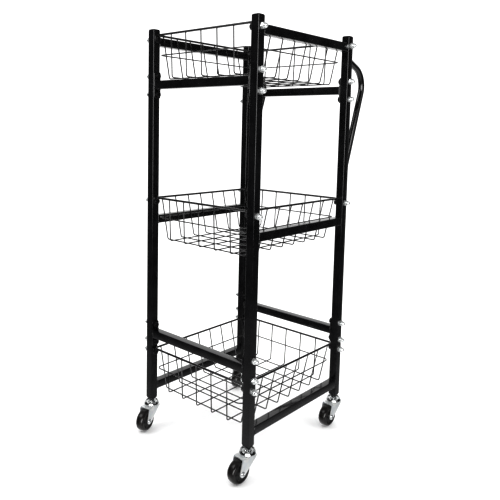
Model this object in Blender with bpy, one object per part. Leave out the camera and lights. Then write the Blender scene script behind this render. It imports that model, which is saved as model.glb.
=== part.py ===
"""Three-basket rolling pantry cart.

Two welded side frames of square steel tube stand on four swivel casters and
are tied together by four bolted crossbars. Three wire baskets hang between the
frames, each bolted through the posts at its four corners, and a bow handle is
fixed to the back of each rear post.

Frame: X runs from the left side frame to the right one, Y from front to rear,
Z up. The origin is on the floor, under the middle of the overall width and
depth. The pieces are built about the middle of the four posts instead, and
one empty at the end carries the whole cart to its place.

Dimensions are in millimetres; MM turns them into metres as meshes are made.
"""

import math

import bmesh
import bpy
from mathutils import Matrix, Vector

MM = 0.001

# ---- driving dimensions shared by several pieces ----------------------------
GAP = 0.3  # clearance between pieces that touch
TUBE = 20.0  # outside width of every square tube
WALL = 1.5  # tube wall
TUBE_HALF = TUBE / 2
BORE_HALF = TUBE / 2 - WALL
HALF_X = 163.5  # post centre to the middle of the cart, left to right
HALF_Y = 174.0  # post centre to the middle of the cart, front to rear
MIDDLE_OF_DEPTH = 14.4  # from the middle of the posts back to the middle of the overall depth
POST_BOTTOM = 78.5  # floor to the open lower end of a post
POST_LENGTH = 922.5
POST_TOP = POST_BOTTOM + POST_LENGTH
# |x| of the crossbar ends and basket lugs that face the posts
INNER_FACE = HALF_X - TUBE_HALF - GAP

CROSSBAR_HEIGHTS = {"lower": 249.5, "upper": 869.5}
FLANGE_THICK = 3.0
FLANGE_BOLT_PITCH = 44.0
BASKET_BOLT_HEIGHTS = {"bottom": 201.7, "middle": 586.2, "top": 978.7}
LUG_THICK = 2.4

BOLT_RADIUS = 4.0  # M8
BOLT_HOLE_RADIUS = 4.4
HEX_HOLE = BOLT_HOLE_RADIUS / math.cos(math.pi / 6)  # corner radius of a six-sided hole
VENT_RADIUS = 4.0  # corner radius of the six-sided vents

# corner: side of the cart along X, side along Y
POSTS = {
    "front_left": (-1, -1),
    "front_right": (1, -1),
    "rear_right": (1, 1),
    "rear_left": (-1, 1),
}

# bolts on one post, label: (height, thickness of the plate clamped inside the post)
BOLTS = {}
for level, height in BASKET_BOLT_HEIGHTS.items():
    BOLTS[level + "_basket"] = (height, LUG_THICK)
for level, height in CROSSBAR_HEIGHTS.items():
    BOLTS[level + "_crossbar_a"] = (height + FLANGE_BOLT_PITCH / 2, FLANGE_THICK)
    BOLTS[level + "_crossbar_b"] = (height - FLANGE_BOLT_PITCH / 2, FLANGE_THICK)

for old in list(bpy.data.objects):
    bpy.data.objects.remove(old, do_unlink=True)

scene = bpy.context.scene


# ---- materials --------------------------------------------------------------
def material(name, colour, roughness, metallic):
    mat = bpy.data.materials.new(name)
    mat.use_nodes = True
    shader = mat.node_tree.nodes["Principled BSDF"]
    shader.inputs["Base Color"].default_value = (*colour, 1.0)
    shader.inputs["Roughness"].default_value = roughness
    shader.inputs["Metallic"].default_value = metallic
    mat.diffuse_color = (*colour, 1.0)
    return mat


BLACK_STEEL = material(
    "black_powder_coat", colour=(0.012, 0.012, 0.014), roughness=0.32, metallic=0.0
)
BLACK_WIRE = material(
    "black_coated_wire", colour=(0.010, 0.010, 0.011), roughness=0.35, metallic=0.0
)
BLACK_PLASTIC = material(
    "black_plastic", colour=(0.015, 0.015, 0.016), roughness=0.45, metallic=0.0
)
BLACK_RUBBER = material(
    "black_wheel_rubber", colour=(0.018, 0.017, 0.017), roughness=0.55, metallic=0.0
)
BRIGHT_ZINC = material("bright_zinc", colour=(0.78, 0.79, 0.80), roughness=0.22, metallic=1.0)
BRIGHT_CHROME = material(
    "bright_nut_and_bolt", colour=(0.85, 0.85, 0.86), roughness=0.14, metallic=1.0
)


# ---- shape helpers ----------------------------------------------------------
def to_object(name, bm, mat=None, smooth_angle=None):
    """Links a finished bmesh; edges sharper than smooth_angle (degrees) stay crisp."""
    bmesh.ops.recalc_face_normals(bm, faces=bm.faces)
    mesh = bpy.data.meshes.new(name)
    bm.to_mesh(mesh)
    bm.free()
    obj = bpy.data.objects.new(name, mesh)
    scene.collection.objects.link(obj)
    if mat is not None:
        mesh.materials.append(mat)
    if smooth_angle is not None:
        mesh.shade_smooth()
        mesh.set_sharp_from_angle(angle=math.radians(smooth_angle))
    return obj


def empty(name):
    obj = bpy.data.objects.new(name, None)
    scene.collection.objects.link(obj)
    return obj


def box(name, low, high, mat=None):
    """A block between two opposite corners."""
    bm = bmesh.new()
    verts = bmesh.ops.create_cube(bm, size=1.0)["verts"]
    size = [(end - start) * MM for start, end in zip(low, high)]
    centre = [(start + end) / 2 * MM for start, end in zip(low, high)]
    bmesh.ops.scale(bm, vec=size, verts=verts)
    bmesh.ops.translate(bm, vec=centre, verts=verts)
    return to_object(name, bm, mat)


def join_rings(bm, ring, following):
    """A band of quads between two vertex rings of equal length."""
    count = len(ring)
    for i in range(count):
        j = (i + 1) % count
        bm.faces.new((ring[i], ring[j], following[j], following[i]))


def loft(bm, rings, closed=False, capped=True):
    """Skins a row of point rings and returns its rings of vertices."""
    made = [[bm.verts.new(Vector(point) * MM) for point in ring] for ring in rings]
    for ring, following in zip(made, made[1:]):
        join_rings(bm, ring, following)
    if closed:
        join_rings(bm, made[-1], made[0])
    elif capped:
        bm.faces.new(list(reversed(made[0])))
        bm.faces.new(made[-1])
    return made


def solid_loft(name, rings, mat=None):
    bm = bmesh.new()
    loft(bm, rings)
    return to_object(name, bm, mat)


def square_ring(x, y, half, z):
    return [
        (x - half, y - half, z),
        (x + half, y - half, z),
        (x + half, y + half, z),
        (x - half, y + half, z),
    ]


def ring_points(centre, first_axis, second_axis, radius, sides, turn=0.0):
    """A regular polygon in the plane of two axes; turn is a fraction of one side."""
    points = []
    for k in range(sides):
        angle = 2 * math.pi * (k + turn) / sides
        points.append(
            Vector(centre)
            + Vector(first_axis) * (radius * math.cos(angle))
            + Vector(second_axis) * (radius * math.sin(angle))
        )
    return points


# direction: (unit vector along it, two unit vectors across it)
AXES = {
    "X": ((1, 0, 0), (0, 1, 0), (0, 0, 1)),
    "Y": ((0, 1, 0), (0, 0, 1), (1, 0, 0)),
}


def hex_prism(name, centre, axis, radius, length):
    """A six-sided bar centred on a point, along X or Y."""
    along, first_axis, second_axis = AXES[axis]
    reach = Vector(along) * length / 2
    ends = (Vector(centre) - reach, Vector(centre) + reach)
    return solid_loft(name, [ring_points(end, first_axis, second_axis, radius, 6) for end in ends])


def lathe(name, profile, sides, mat=None, turn=0.5):
    """A closed body turned about local Z from (radius, height) pairs.

    A profile either starts and ends on the axis, at radius 0, or goes round
    a bore and closes on itself.
    """
    bm = bmesh.new()
    rings = []
    for radius, z in profile:
        if radius == 0:
            points = [Vector((0, 0, z))]
        else:
            points = ring_points((0, 0, z), (1, 0, 0), (0, 1, 0), radius, sides, turn)
        rings.append([bm.verts.new(point * MM) for point in points])
    pairs = list(zip(rings, rings[1:]))
    if len(rings[0]) > 1:
        pairs.append((rings[-1], rings[0]))
    for ring, following in pairs:
        if len(ring) > 1 and len(following) > 1:
            join_rings(bm, ring, following)
            continue
        for i in range(sides):
            j = (i + 1) % sides
            if len(ring) == 1:
                bm.faces.new((ring[0], following[j], following[i]))
            else:
                bm.faces.new((ring[i], ring[j], following[0]))
    return to_object(name, bm, mat, smooth_angle=35)


def with_mirror(half, flip):
    """A row of pairs, then the same row backwards, its columns multiplied by flip."""
    return half + [(first * flip[0], second * flip[1]) for first, second in reversed(half)]


def path_directions(points, i, closed=False):
    """Unit directions into and out of a path point; they agree at an open end."""
    count = len(points)
    into = out = None
    if closed or i > 0:
        into = (points[i] - points[i - 1]).normalized()
    if closed or i < count - 1:
        out = (points[(i + 1) % count] - points[i]).normalized()
    return into or out, out or into


def boolean(obj, helpers, operation):
    """One Boolean against a collection of hidden helper pieces."""
    group = bpy.data.collections.new(obj.name + "_" + operation.lower())
    scene.collection.children.link(group)
    for piece in helpers:
        scene.collection.objects.unlink(piece)
        group.objects.link(piece)
        piece.hide_render = True
        piece.display_type = "WIRE"
    modifier = obj.modifiers.new(operation.lower(), "BOOLEAN")
    modifier.operation = operation
    modifier.operand_type = "COLLECTION"
    modifier.collection = group
    modifier.solver = "EXACT"


# ---- side frames ------------------------------------------------------------
RAIL_HEIGHTS = (109.0, 540.0, 974.0)  # centre lines
RAIL_BORE_SHORT = 0.01  # rail bore stops this far from each post's face
POST_BORE_OVERRUN = 5.0  # cutter beyond each end of a post
POST_HOLE_OVERRUN = 3.0  # cutter beyond each side of a post


def upright(name, x, y, half, bottom, top, mat=None):
    return box(name, (x - half, y - half, bottom), (x + half, y + half, top), mat)


def side_frame(name, side):
    x = side * HALF_X
    frame = upright(name, x, -HALF_Y, TUBE_HALF, POST_BOTTOM, POST_TOP, BLACK_STEEL)
    solids = [upright(name + "_rear_post", x, HALF_Y, TUBE_HALF, POST_BOTTOM, POST_TOP)]
    cutters = []
    # each rail ends inside the tube wall that it is welded to
    reach = HALF_Y - TUBE_HALF + WALL / 2
    bore_reach = HALF_Y - TUBE_HALF - RAIL_BORE_SHORT
    for i, z in enumerate(RAIL_HEIGHTS):
        solids.append(
            box(
                f"{name}_rail_{i}",
                (x - TUBE_HALF, -reach, z - TUBE_HALF),
                (x + TUBE_HALF, reach, z + TUBE_HALF),
            )
        )
        cutters.append(
            box(
                f"{name}_rail_bore_{i}",
                (x - BORE_HALF, -bore_reach, z - BORE_HALF),
                (x + BORE_HALF, bore_reach, z + BORE_HALF),
            )
        )
        # vent holes join the rail's hollow to the posts' open bores
        cutters.append(hex_prism(f"{name}_vent_{i}", (x, 0, z), "Y", VENT_RADIUS, 2 * HALF_Y))
    for sign in (-1, 1):
        y = sign * HALF_Y
        cutters.append(
            upright(
                f"{name}_post_bore_{sign}",
                x,
                y,
                BORE_HALF,
                POST_BOTTOM - POST_BORE_OVERRUN,
                POST_TOP + POST_BORE_OVERRUN,
            )
        )
        for label, (z, _) in BOLTS.items():
            hole = f"{name}_hole_{label}_{sign}"
            length = TUBE + 2 * POST_HOLE_OVERRUN
            cutters.append(hex_prism(hole, (x, y, z), "X", HEX_HOLE, length))
    boolean(frame, solids, "UNION")
    boolean(frame, cutters, "DIFFERENCE")


side_frame("left_side_frame", -1)
side_frame("right_side_frame", 1)


# ---- post caps --------------------------------------------------------------
CAP_PLUG = BORE_HALF - GAP  # half width inside the post
CAP_RIM = TUBE_HALF - 0.4  # half width above the post
# half width, height above the post's end
CAP_STATIONS = (
    (CAP_PLUG - 0.6, -11.0),
    (CAP_PLUG, -9.5),
    (CAP_PLUG, GAP),
    (CAP_RIM, GAP),
    (CAP_RIM, GAP + 0.9),
    (CAP_RIM - 3.0, GAP + 2.2),
)


def post_cap(name, x, y):
    rings = [square_ring(x, y, half, POST_TOP + rise) for half, rise in CAP_STATIONS]
    solid_loft(name, rings, BLACK_PLASTIC)


for corner, (side_x, side_y) in POSTS.items():
    post_cap("post_cap_" + corner, side_x * HALF_X, side_y * HALF_Y)


# ---- crossbars --------------------------------------------------------------
FLANGE_TALL = 62.0
FLANGE_OVERLAP = 0.5  # tube reaches this far into each end plate
FLANGE_HOLE_OVERRUN = 2.0  # cutter beyond each side of a plate


def crossbar(name, y, z):
    """A square tube along X with an upright plate on each end."""
    inner = INNER_FACE - FLANGE_THICK
    tube_reach = inner + FLANGE_OVERLAP
    bar = box(
        name,
        (-tube_reach, y - TUBE_HALF, z - TUBE_HALF),
        (tube_reach, y + TUBE_HALF, z + TUBE_HALF),
        BLACK_STEEL,
    )
    plates = []
    cutters = [
        box(
            name + "_bore",
            (-inner, y - BORE_HALF, z - BORE_HALF),
            (inner, y + BORE_HALF, z + BORE_HALF),
        )
    ]
    cut_length = FLANGE_THICK + 2 * FLANGE_HOLE_OVERRUN
    for sign in (-1, 1):
        left, right = sorted((sign * inner, sign * INNER_FACE))
        plates.append(
            box(
                f"{name}_plate_{sign}",
                (left, y - TUBE_HALF, z - FLANGE_TALL / 2),
                (right, y + TUBE_HALF, z + FLANGE_TALL / 2),
            )
        )
        # a vent in each plate keeps the tube open
        middle = sign * (inner + INNER_FACE) / 2
        vent = hex_prism(f"{name}_vent_{sign}", (middle, y, z), "X", VENT_RADIUS, cut_length)
        cutters.append(vent)
        for step in (-1, 1):
            centre = (middle, y, z + step * FLANGE_BOLT_PITCH / 2)
            hole = hex_prism(f"{name}_hole_{sign}_{step}", centre, "X", HEX_HOLE, cut_length)
            cutters.append(hole)
    boolean(bar, plates, "UNION")
    boolean(bar, cutters, "DIFFERENCE")


for level, height in CROSSBAR_HEIGHTS.items():
    crossbar(f"front_{level}_crossbar", -HALF_Y, height)
    crossbar(f"rear_{level}_crossbar", HALF_Y, height)


# ---- wire baskets -----------------------------------------------------------
RIM_WIRE = 2.5  # radius
MESH_WIRE = 1.2  # radius
WIRE_SIDES = 4
WIRE_CORNER = 1.12  # corner radius of the four-sided section over the wire's radius
RIM_ABOVE_BOLT = 9.0
RIM_X = 150.8  # half width of the rim, wire centre
RIM_Y = 177.0
RIM_CORNER = 9.0  # corner radius in plan
WALL_FOOT_X = 128.2  # where a wall wire starts to bend into the floor
WALL_FOOT_Y = 172.8
FLOOR_EDGE_X = 123.0  # where the bend reaches the flat floor
FLOOR_EDGE_Y = 168.0
BASKET_DEPTH = 103.0
BEND = 5.0  # height of the bend between wall and floor
MID_WIRE_DOWN = 48.0  # below the rim
MID_WIRE_CORNER = 12.0
MID_WIRE_OUT = MESH_WIRE * 0.6  # outside the centre line of the wall wires
CORNER_STEPS = 2
CROSS_WIRES = 8  # wires along X, spaced along Y
CROSS_PITCH = 44.5
LONG_WIRES = 5  # wires along Y, spaced along X
LONG_PITCH = 49.4
LONG_WIRE_LIFT = MESH_WIRE * 1.1  # above the cross wires, on the floor
LUG_HALF_WIDTH = 8.0
LUG_ABOVE_RIM = 1.0
LUG_HOLE_INSET = 1.0  # middle of the hole cutter, from the lug's outer face
LUG_HOLE_LENGTH = 12.0


def wire(name, path, radius, normal, closed=False, mat=None):
    """A square-section wire, mitred at each bend; normal is that of the path's plane."""
    points = [Vector(point) for point in path]
    normal = Vector(normal)
    corner_radius = radius * WIRE_CORNER
    rings = []
    for i, here in enumerate(points):
        into, out = path_directions(points, i, closed)
        tangent = (into + out).normalized()
        stretch = 1.0 / tangent.dot(out)
        across = tangent.cross(normal).normalized()
        ring = []
        for k in range(WIRE_SIDES):
            angle = 2 * math.pi * (k + 0.5) / WIRE_SIDES
            sideways = across * (corner_radius * math.cos(angle) * stretch)
            ring.append(here + sideways + normal * (corner_radius * math.sin(angle)))
        rings.append(ring)
    bm = bmesh.new()
    loft(bm, rings, closed=closed)
    return to_object(name, bm, mat, smooth_angle=40)


def corner_loop(half_x, half_y, z, radius):
    """A level rectangle with rounded corners."""
    points = []
    for side_x, side_y, start in ((1, 1, 0), (-1, 1, 90), (-1, -1, 180), (1, -1, 270)):
        for k in range(CORNER_STEPS + 1):
            angle = math.radians(start + 90 * k / CORNER_STEPS)
            x = side_x * (half_x - radius) + radius * math.cos(angle)
            y = side_y * (half_y - radius) + radius * math.sin(angle)
            points.append((x, y, z))
    return points


def mid_wire(name, rim):
    """The level wire partway down the walls, following their taper."""
    part_way = MID_WIRE_DOWN / (BASKET_DEPTH - BEND)
    half_x = RIM_X + (WALL_FOOT_X - RIM_X) * part_way + MID_WIRE_OUT
    half_y = RIM_Y + (WALL_FOOT_Y - RIM_Y) * part_way + MID_WIRE_OUT
    loop = corner_loop(half_x, half_y, rim - MID_WIRE_DOWN, MID_WIRE_CORNER)
    return wire(name, loop, MESH_WIRE, (0, 0, 1), closed=True)


def mesh_wires(name, rim):
    """Wires that run down one wall, over the floor and up the other."""
    floor = rim - BASKET_DEPTH
    foot = floor + BEND
    pieces = []
    half = [(-RIM_X, rim), (-WALL_FOOT_X, foot), (-FLOOR_EDGE_X, floor)]
    profile = with_mirror(half, (-1, 1))
    for i in range(CROSS_WIRES):
        y = (i - (CROSS_WIRES - 1) / 2) * CROSS_PITCH
        path = [(x, y, z) for x, z in profile]
        pieces.append(wire(f"{name}_cross_{i}", path, MESH_WIRE, (0, 1, 0)))
    half = [(-RIM_Y, rim), (-WALL_FOOT_Y, foot), (-FLOOR_EDGE_Y, floor + LONG_WIRE_LIFT)]
    profile = with_mirror(half, (-1, 1))
    for i in range(LONG_WIRES):
        x = (i - (LONG_WIRES - 1) / 2) * LONG_PITCH
        path = [(x, y, z) for y, z in profile]
        pieces.append(wire(f"{name}_long_{i}", path, MESH_WIRE, (1, 0, 0)))
    return pieces


def lug(name, side, y, bolt_height):
    """A stamped lug at a basket corner, against the post's inner face."""
    half = [
        (-LUG_HALF_WIDTH, bolt_height + RIM_ABOVE_BOLT + LUG_ABOVE_RIM),
        (-LUG_HALF_WIDTH, bolt_height),
        (-LUG_HALF_WIDTH * 0.62, bolt_height - LUG_HALF_WIDTH * 0.8),
    ]
    outline = with_mirror(half, (-1, 1))
    faces = (INNER_FACE - LUG_THICK, INNER_FACE)
    return solid_loft(name, [[(side * x, y + dy, z) for dy, z in outline] for x in faces])


def basket(name, bolt_height):
    rim = bolt_height + RIM_ABOVE_BOLT
    rim_loop = corner_loop(RIM_X, RIM_Y, rim, RIM_CORNER)
    body = wire(name, rim_loop, RIM_WIRE, (0, 0, 1), closed=True, mat=BLACK_WIRE)
    pieces = [mid_wire(name + "_mid_wire", rim), *mesh_wires(name, rim)]
    holes = []
    for side_x in (-1, 1):
        for side_y in (-1, 1):
            y = side_y * HALF_Y
            pieces.append(lug(f"{name}_lug_{side_x}_{side_y}", side_x, y, bolt_height))
            centre = (side_x * (INNER_FACE - LUG_HOLE_INSET), y, bolt_height)
            hole = f"{name}_lug_hole_{side_x}_{side_y}"
            holes.append(hex_prism(hole, centre, "X", HEX_HOLE, LUG_HOLE_LENGTH))
    boolean(body, pieces, "UNION")
    boolean(body, holes, "DIFFERENCE")


for level, height in BASKET_BOLT_HEIGHTS.items():
    basket(level + "_basket", height)


# ---- bow handles ------------------------------------------------------------
HANDLE_RADIUS = 8.0
HANDLE_WALL = 1.4
HANDLE_TOP = 943.0  # where the upper leg meets the post
HANDLE_BOTTOM = 677.0
HANDLE_TOP_DROP = 22.0  # degrees below level
HANDLE_BACK_SLOPE = 3.0  # rise over run of the long lower leg
HANDLE_BEND = 50.0  # radius of the centre line
HANDLE_BEND_STEPS = 7
HANDLE_SIDES = 10


def handle_path():
    """(y, z) points of the tube's centre line, from the upper end to the lower."""
    start = Vector((HALF_Y + TUBE_HALF, HANDLE_TOP))
    end = Vector((HALF_Y + TUBE_HALF, HANDLE_BOTTOM))
    # the two legs, drawn on as straight lines, would meet at the apex
    drop = math.tan(math.radians(HANDLE_TOP_DROP))
    run = (HANDLE_TOP - HANDLE_BOTTOM) / (HANDLE_BACK_SLOPE + drop)
    apex = start + Vector((run, -drop * run))
    to_start = (start - apex).normalized()
    to_end = (end - apex).normalized()
    half_angle = to_start.angle(to_end) / 2
    centre = apex + (to_start + to_end).normalized() * (HANDLE_BEND / math.sin(half_angle))
    tangent_length = HANDLE_BEND / math.tan(half_angle)
    first = apex + to_start * tangent_length - centre
    last = apex + to_end * tangent_length - centre
    first_angle = math.atan2(first.y, first.x)
    last_angle = math.atan2(last.y, last.x)
    points = [start]
    for k in range(HANDLE_BEND_STEPS + 1):
        angle = first_angle + (last_angle - first_angle) * k / HANDLE_BEND_STEPS
        points.append(centre + Vector((math.cos(angle), math.sin(angle))) * HANDLE_BEND)
    points.append(end)
    return points


def handle_rings(x, radius):
    """Rings of one skin of the tube, both ends cut flush to the post's rear face."""
    points = handle_path()
    face = HALF_Y + TUBE_HALF + GAP
    rings = []
    for i, here in enumerate(points):
        into, out = path_directions(points, i)
        tangent = (into + out).normalized()
        across = Vector((-tangent.y, tangent.x))
        ring = []
        for k in range(HANDLE_SIDES):
            angle = 2 * math.pi * (k + 0.5) / HANDLE_SIDES
            point = here + across * (radius * math.cos(angle))
            if i in (0, len(points) - 1):
                point = point + tangent * ((face - point.x) / tangent.x)
            ring.append((x + radius * math.sin(angle), point.x, point.y))
        rings.append(ring)
    return rings


def bow_handle(name, x):
    bm = bmesh.new()
    outer = loft(bm, handle_rings(x, HANDLE_RADIUS), capped=False)
    inner = loft(bm, handle_rings(x, HANDLE_RADIUS - HANDLE_WALL), capped=False)
    for end in (0, -1):
        join_rings(bm, outer[end], inner[end])
    to_object(name, bm, BLACK_STEEL, smooth_angle=45)


bow_handle("left_bow_handle", -HALF_X)
bow_handle("right_bow_handle", HALF_X)


# ---- bolts with dome nuts ---------------------------------------------------
HEX_RADIUS = 7.5  # 13 mm across flats
BOLT_HEAD = 5.3
NUT_HEX = 6.5
NUT_DOME = 8.5
NUT_TIP_RADIUS = HEX_RADIUS * 0.50


def bolt_with_nut(name, side, y, z, plate):
    """A hex-head bolt from inside, with a closed dome nut outside the post."""
    inside = INNER_FACE - plate - GAP
    outside = HALF_X + TUBE_HALF + GAP
    # distance from the middle of the cart, corner radius
    stations = [
        (inside - BOLT_HEAD, HEX_RADIUS),
        (inside, HEX_RADIUS),
        (inside, BOLT_RADIUS),
        (outside, BOLT_RADIUS),
        (outside, HEX_RADIUS),
        (outside + NUT_HEX, HEX_RADIUS),
        (outside + NUT_HEX + NUT_DOME, NUT_TIP_RADIUS),
    ]
    rings = [
        ring_points((side * x, y, z), (0, 1, 0), (0, 0, 1), radius, 6) for x, radius in stations
    ]
    solid_loft(name, rings, BRIGHT_CHROME)


for corner, (side_x, side_y) in POSTS.items():
    for label, (height, plate) in BOLTS.items():
        bolt_with_nut(f"{label}_bolt_{corner}", side_x, side_y * HALF_Y, height, plate)


# ---- swivel casters ---------------------------------------------------------
WHEEL_RADIUS = 27.0
WHEEL_WIDTH = 21.0
WHEEL_SIDES = 20
WHEEL_BORE = 3.7  # radius
HUB_RADIUS = 8.0
HUB_PROUD = 1.2
AXLE_RADIUS = 3.0
AXLE_HEAD_RADIUS = 5.4
AXLE_HOLE = 3.4 / math.cos(math.pi / 6)  # corner radius of a six-sided hole
TRAIL = 27.0  # swivel axis to axle
FORK_INSIDE = 26.0
FORK_SHEET = 2.0
FORK_OUTER = FORK_INSIDE / 2 + FORK_SHEET  # swivel axis to a leg's outer face
FORK_TOP = 58.0
FORK_EYE = 8.0  # radius of a leg's lower end, round the axle
FORK_EYE_STEPS = 5
AXLE_HOLE_OVERRUN = 4.0  # cutter beyond each leg
KING_HOLE_RADIUS = 4.0
PIN_RADIUS = 3.2
RIVET_RADIUS = 6.0
CUP_BOTTOM = 60.2
CUP_TOP = 67.6
CUP_RADIUS = 19.5
CUP_SIDES = 16
PIN_SIDES = 8
STEM_BASE = POST_BOTTOM - GAP
STEM_PLUG = BORE_HALF - GAP  # half width inside the post
STEM_COLLAR = 9.6  # half width below the post
# direction in which each caster trails at rest, degrees from +X
TRAIL_ANGLES = {"front_left": 283.0, "front_right": 265.0, "rear_right": 268.0, "rear_left": 290.0}

# half width, height
STEM_STATIONS = (
    (6.2, STEM_BASE - 6.5),
    (STEM_COLLAR, STEM_BASE - 1.6),
    (STEM_COLLAR, STEM_BASE),
    (STEM_PLUG, STEM_BASE),
    (STEM_PLUG, STEM_BASE + 22.0),
    (STEM_PLUG - 1.0, STEM_BASE + 24.0),
)
# lathe profiles: radius, height
CUP_PROFILE = (
    (0, CUP_BOTTOM),
    (CUP_RADIUS - 2.0, CUP_BOTTOM),
    (CUP_RADIUS, CUP_BOTTOM + 1.2),
    (CUP_RADIUS, CUP_BOTTOM + 2.6),
    (CUP_RADIUS - 4.0, CUP_TOP - 0.6),
    (CUP_RADIUS - 5.2, CUP_TOP),
    (CUP_RADIUS - 7.5, CUP_TOP - 3.2),
    (7.0, CUP_TOP - 3.2),
    (7.0, STEM_BASE - 5.5),
    (0, STEM_BASE - 5.5),
)
PIN_PROFILE = (
    (0, FORK_TOP - 4.6),
    (RIVET_RADIUS, FORK_TOP - 4.6),
    (RIVET_RADIUS, FORK_TOP - 2.3),
    (PIN_RADIUS, FORK_TOP - 2.3),
    (PIN_RADIUS, CUP_BOTTOM + 3.0),
    (0, CUP_BOTTOM + 3.0),
)
RACE_PROFILE = (
    (0, FORK_TOP - 1.0),
    (17.0, FORK_TOP - 1.0),
    (17.6, FORK_TOP + 0.6),
    (16.4, CUP_BOTTOM - 0.4),
    (0, CUP_BOTTOM - 0.4),
)
KING_HOLE_PROFILE = (
    (0, FORK_TOP - 9),
    (KING_HOLE_RADIUS, FORK_TOP - 9),
    (KING_HOLE_RADIUS, CUP_BOTTOM + 3),
    (0, CUP_BOTTOM + 3),
)
# the fork's top plate in its own frame: x towards the axle, y across
FORK_PLATE = (
    (TRAIL, -FORK_OUTER), (TRAIL, FORK_OUTER), (-9.0, FORK_OUTER),
    (-16.0, 8.0), (-16.0, -8.0), (-9.0, -FORK_OUTER),
)


def caster_stem(name, x, y):
    """Plug in the post's end, stem, collar nut and dished upper bearing cup."""
    rings = [square_ring(0, 0, half, z) for half, z in STEM_STATIONS]
    stem = solid_loft(name, rings, BRIGHT_ZINC)
    cup = lathe(name + "_cup", CUP_PROFILE, CUP_SIDES)
    # the stem runs down through the fork, to the rivet under its top plate
    pin = lathe(name + "_pin", PIN_PROFILE, PIN_SIDES)
    for piece in (stem, cup, pin):
        piece.location = (x * MM, y * MM, 0)
    boolean(stem, [cup, pin], "UNION")


def fork_outline():
    """(x, z) side view of one fork leg: x runs from the swivel axis to the axle."""
    points = [(-14.5, FORK_TOP), (-14.5, FORK_TOP - 4.0)]
    for k in range(FORK_EYE_STEPS + 1):
        angle = math.radians(-135 + 150 * k / FORK_EYE_STEPS)
        x = TRAIL + FORK_EYE * math.cos(angle)
        z = WHEEL_RADIUS + FORK_EYE * math.sin(angle)
        points.append((x, z))
    points.append((TRAIL + 0.5, FORK_TOP))
    return points


def caster_fork(name, x, y, angle):
    """One pressed piece: top plate, raised lower race and two legs, in its own frame."""
    plate_faces = (FORK_TOP - FORK_SHEET, FORK_TOP)
    rings = [[(along, across, z) for along, across in FORK_PLATE] for z in plate_faces]
    fork = solid_loft(name, rings, BRIGHT_ZINC)
    legs = []
    for side in (-1, 1):
        leg_faces = sorted((side * FORK_INSIDE / 2, side * FORK_OUTER))
        rings = [[(along, across, z) for along, z in fork_outline()] for across in leg_faces]
        legs.append(solid_loft(f"{name}_leg_{side}", rings))
    race = lathe(name + "_race", RACE_PROFILE, CUP_SIDES)
    king_hole = lathe(name + "_king_hole", KING_HOLE_PROFILE, PIN_SIDES)
    cut_length = 2 * (FORK_OUTER + AXLE_HOLE_OVERRUN)
    axle_centre = (TRAIL, 0, WHEEL_RADIUS)
    axle_hole = hex_prism(name + "_axle_hole", axle_centre, "Y", AXLE_HOLE, cut_length)
    turned = Matrix.Rotation(math.radians(angle), 4, "Z")
    place = Matrix.Translation(Vector((x, y, 0)) * MM) @ turned
    for piece in (fork, race, king_hole, axle_hole, *legs):
        piece.matrix_world = place
    boolean(fork, [race, *legs], "UNION")
    boolean(fork, [king_hole, axle_hole], "DIFFERENCE")


def axle_line(name, x, y, angle):
    """An empty on the axle, its Z along the axle."""
    trail = math.radians(angle)
    centre = Vector((x + TRAIL * math.cos(trail), y + TRAIL * math.sin(trail), WHEEL_RADIUS))
    hub = empty(name)
    hub.matrix_world = (
        Matrix.Translation(centre * MM)
        @ Matrix.Rotation(trail, 4, "Z")
        @ Matrix.Rotation(math.radians(-90), 4, "X")
    )
    return hub


def caster_axle(name):
    """A riveted pin with a low head on each side."""
    reach = FORK_OUTER + GAP
    half = [
        (0, -reach - 2.0),
        (3.6, -reach - 2.0),
        (AXLE_HEAD_RADIUS, -reach - 0.9),
        (AXLE_HEAD_RADIUS, -reach),
        (AXLE_RADIUS, -reach),
    ]
    return lathe(name, with_mirror(half, (1, -1)), 6, BRIGHT_ZINC, turn=0.0)


def caster_wheel(name):
    """Moulded wheel with a raised hub and an open bore."""
    side = WHEEL_WIDTH / 2
    # the flats, not the corners, touch the floor
    tread = WHEEL_RADIUS / math.cos(math.pi / WHEEL_SIDES)
    half = [
        (WHEEL_BORE, -side - HUB_PROUD),
        (HUB_RADIUS, -side - HUB_PROUD),
        (tread - 2.0, -side),
        (tread, -side + 3.5),
    ]
    return lathe(name, with_mirror(half, (1, -1)), WHEEL_SIDES, BLACK_RUBBER)


for corner, (side_x, side_y) in POSTS.items():
    post = (side_x * HALF_X, side_y * HALF_Y)
    caster_stem("caster_stem_" + corner, *post)
    caster_fork("caster_fork_" + corner, *post, TRAIL_ANGLES[corner])
    hub = axle_line("axle_line_" + corner, *post, TRAIL_ANGLES[corner])
    caster_axle("caster_axle_" + corner).parent = hub
    caster_wheel("caster_wheel_" + corner).parent = hub


# ---- the whole cart, over its origin ----------------------------------------
cart = empty("cart")
cart.location = (0, -MIDDLE_OF_DEPTH * MM, 0)
for piece in list(bpy.data.objects):
    if piece is not cart and piece.parent is None:
        piece.parent = cart
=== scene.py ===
import math
import random

import bmesh
import bpy
from mathutils import Matrix, Vector


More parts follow.
